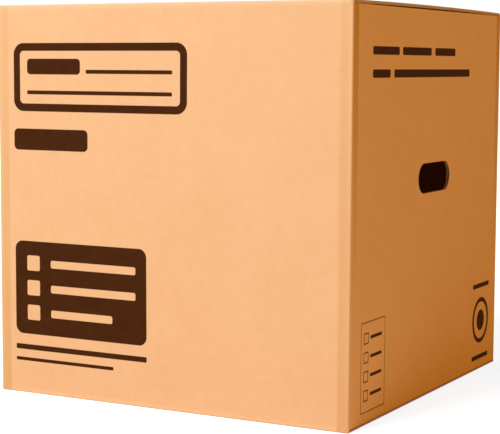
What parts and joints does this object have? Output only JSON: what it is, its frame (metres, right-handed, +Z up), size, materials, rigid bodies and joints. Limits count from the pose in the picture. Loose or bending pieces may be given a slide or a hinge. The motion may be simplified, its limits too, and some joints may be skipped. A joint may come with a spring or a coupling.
{
  "type": "corrugated archive box",
  "caption": "Closed cube-shaped carton of single-wall corrugated board, with folding top flaps and a hand hole in each end wall.",
  "frame": {"origin": "middle of the base, on the surface that the box stands on", "axes": "+Z up; the front wall, which carries the larger print, faces -Y; the end walls with the hand holes face +X and -X"},
  "size_m": [0.405, 0.405, 0.405],
  "materials": {
    "board": "matt brown paper liner over a fluted core"
  },
  "bodies": {
    "carton": {"carton_body": "board"},
    "front_flap": {"front_top_flap": "board"},
    "back_flap": {"back_top_flap": "board"}
  },
  "joints": [
    {"name": "front_flap_fold", "type": "hinge", "parent": "carton", "child": "front_flap", "pos_m": [0, -0.2025, 0.405], "axis": [1, 0, 0], "range_deg": [0, 260]},
    {"name": "back_flap_fold", "type": "hinge", "parent": "carton", "child": "back_flap", "pos_m": [0, 0.2025, 0.405], "axis": [-1, 0, 0], "range_deg": [0, 260]}
  ]
}
